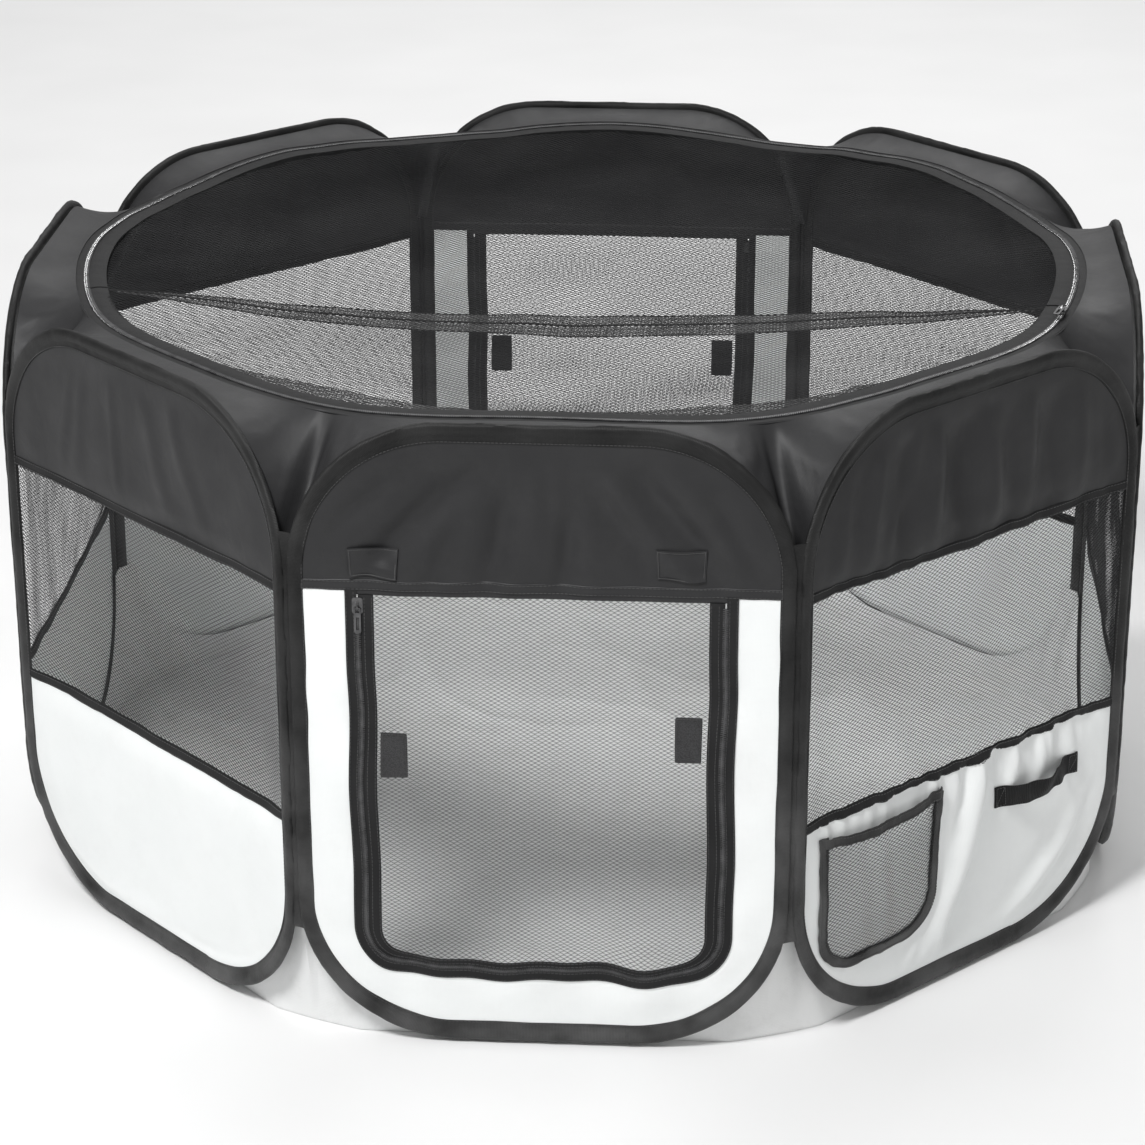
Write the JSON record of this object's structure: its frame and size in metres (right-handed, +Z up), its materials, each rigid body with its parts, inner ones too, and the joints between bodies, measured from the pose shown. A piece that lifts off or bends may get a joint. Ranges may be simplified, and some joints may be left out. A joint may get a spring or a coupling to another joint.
{
  "type": "pet playpen",
  "caption": "Folding soft-sided playpen for pets: a ring of wire-hooped cloth and netting panels with zipped doors, netting roof, sewn floor and side pocket.",
  "frame": {"origin": "centre of the pen, at the underside of the floor", "axes": "+Z up, -Y out through the front door panel, +X to the right of a person facing the front door from outside"},
  "size_m": [1.1436, 1.1466, 0.635],
  "materials": {
    "black_cloth": "black coated polyester cloth, matt",
    "black_binding": "black woven binding with a slight sheen",
    "white_cloth": "white coated polyester cloth",
    "floor_cloth": "light grey coated polyester cloth",
    "netting": "black knitted hexagonal netting",
    "zip_tape": "black woven zip tape with coil teeth",
    "zip_metal": "nickel-plated zip slider",
    "hook_patch": "black hook-and-loop patch",
    "webbing": "black woven webbing",
    "spring_wire": "zinc-plated spring wire"
  },
  "bodies": {
    "panel_front": {"wire_hoop_front": "spring_wire", "binding_front": "black_binding", "upper_band_front": "black_cloth", "door_surround_front": "white_cloth", "door_zip_tape_front": "zip_tape", "collar": "black_cloth", "rim_zip": "zip_tape", "roof_net_rear": "netting", "roof_hem_rear": "black_binding", "floor": "floor_cloth", "floor_gussets": "floor_cloth"},
    "panel_front_right": {"wire_hoop_front_right": "spring_wire", "binding_front_right": "black_binding", "upper_band_front_right": "black_cloth", "net_window_front_right": "netting", "lower_panel_front_right": "white_cloth", "pocket_net": "netting", "pocket_binding": "black_binding", "side_strap": "webbing"},
    "panel_right": {"wire_hoop_right": "spring_wire", "binding_right": "black_binding", "upper_band_right": "black_cloth", "net_window_right": "netting", "lower_panel_right": "white_cloth"},
    "panel_rear_right": {"wire_hoop_rear_right": "spring_wire", "binding_rear_right": "black_binding", "upper_band_rear_right": "black_cloth", "net_window_rear_right": "netting", "lower_panel_rear_right": "white_cloth"},
    "panel_rear": {"wire_hoop_rear": "spring_wire", "binding_rear": "black_binding", "upper_band_rear": "black_cloth", "door_surround_rear": "white_cloth", "door_zip_tape_rear": "zip_tape"},
    "panel_rear_left": {"wire_hoop_rear_left": "spring_wire", "binding_rear_left": "black_binding", "upper_band_rear_left": "black_cloth", "net_window_rear_left": "netting", "lower_panel_rear_left": "white_cloth"},
    "panel_left": {"wire_hoop_left": "spring_wire", "binding_left": "black_binding", "upper_band_left": "black_cloth", "net_window_left": "netting", "lower_panel_left": "white_cloth"},
    "panel_front_left": {"wire_hoop_front_left": "spring_wire", "binding_front_left": "black_binding", "upper_band_front_left": "black_cloth", "net_window_front_left": "netting", "lower_panel_front_left": "white_cloth"},
    "door_front": {"door_net_front": "netting", "door_hem_front": "zip_tape", "door_patches_front": "hook_patch"},
    "slider_front": {"door_slider_front": "zip_metal"},
    "door_rear": {"door_net_rear": "netting", "door_hem_rear": "zip_tape", "door_patches_rear": "hook_patch"},
    "slider_rear": {"door_slider_rear": "zip_metal"},
    "roof_flap": {"roof_net_front": "netting", "roof_hem_front": "black_binding"},
    "roof_zip_slider": {"roof_slider": "zip_metal"}
  },
  "joints": [
    {"name": "fold", "type": "hinge", "parent": "panel_front_left", "child": "panel_left", "pos_m": [-0.55834, -0.23127, 0.3175], "axis": [0, 0, 1], "range_deg": [-130, 0], "deforming": ["collar", "rim_zip", "roof_net_front", "roof_hem_front", "roof_net_rear", "roof_hem_rear", "roof_slider", "floor", "floor_gussets"]},
    {"name": "seam_front_to_front_left", "type": "hinge", "parent": "panel_front", "child": "panel_front_left", "pos_m": [-0.235, -0.56734, 0.3175], "axis": [0, 0, 1], "range_deg": [0, 43.33]},
    {"name": "seam_left_to_rear_left", "type": "hinge", "parent": "panel_left", "child": "panel_rear_left", "pos_m": [-0.56734, 0.235, 0.3175], "axis": [0, 0, 1], "range_deg": [0, 43.33]},
    {"name": "seam_front_to_front_right", "type": "hinge", "parent": "panel_front", "child": "panel_front_right", "pos_m": [0.235, -0.56734, 0.3175], "axis": [0, 0, 1], "range_deg": [-43.33, 0]},
    {"name": "seam_front_right_to_right", "type": "hinge", "parent": "panel_front_right", "child": "panel_right", "pos_m": [0.56734, -0.235, 0.3175], "axis": [0, 0, 1], "range_deg": [-43.33, 0]},
    {"name": "seam_right_to_rear_right", "type": "hinge", "parent": "panel_right", "child": "panel_rear_right", "pos_m": [0.55834, 0.23127, 0.3175], "axis": [0, 0, 1], "range_deg": [0, 130]},
    {"name": "seam_rear_right_to_rear", "type": "hinge", "parent": "panel_rear_right", "child": "panel_rear", "pos_m": [0.235, 0.56734, 0.3175], "axis": [0, 0, 1], "range_deg": [-43.33, 0]},
    {"name": "front_door_swing", "type": "hinge", "parent": "panel_front", "child": "door_front", "pos_m": [0, -0.57034, 0.47], "axis": [-1, 0, 0], "range_deg": [0, 150]},
    {"name": "rear_door_swing", "type": "hinge", "parent": "panel_rear", "child": "door_rear", "pos_m": [0, 0.57034, 0.47], "axis": [1, 0, 0], "range_deg": [0, 150]},
    {"name": "front_door_zip", "type": "slide", "parent": "door_front", "child": "slider_front", "axis": [0, 0, -1], "range_m": [0, 0.3]},
    {"name": "rear_door_zip", "type": "slide", "parent": "door_rear", "child": "slider_rear", "axis": [0, 0, -1], "range_m": [0, 0.3]},
    {"name": "roof_flap_fold", "type": "hinge", "parent": "panel_front", "child": "roof_flap", "pos_m": [0, -0.135, 0.6005], "axis": [-1, 0, 0], "range_deg": [0, 150]},
    {"name": "roof_zip", "type": "hinge", "parent": "panel_front", "child": "roof_zip_slider", "pos_m": [0, 0, 0.617], "axis": [0, 0, -1], "range_deg": [0, 145]}
  ],
  "couplings": [
    {"joint": "seam_front_to_front_left", "follows": "fold", "ratio": -0.33333},
    {"joint": "seam_left_to_rear_left", "follows": "fold", "ratio": -0.33333},
    {"joint": "seam_front_to_front_right", "follows": "fold", "ratio": 0.33333},
    {"joint": "seam_front_right_to_right", "follows": "fold", "ratio": 0.33333},
    {"joint": "seam_right_to_rear_right", "follows": "fold", "ratio": -1},
    {"joint": "seam_rear_right_to_rear", "follows": "fold", "ratio": 0.33333}
  ]
}
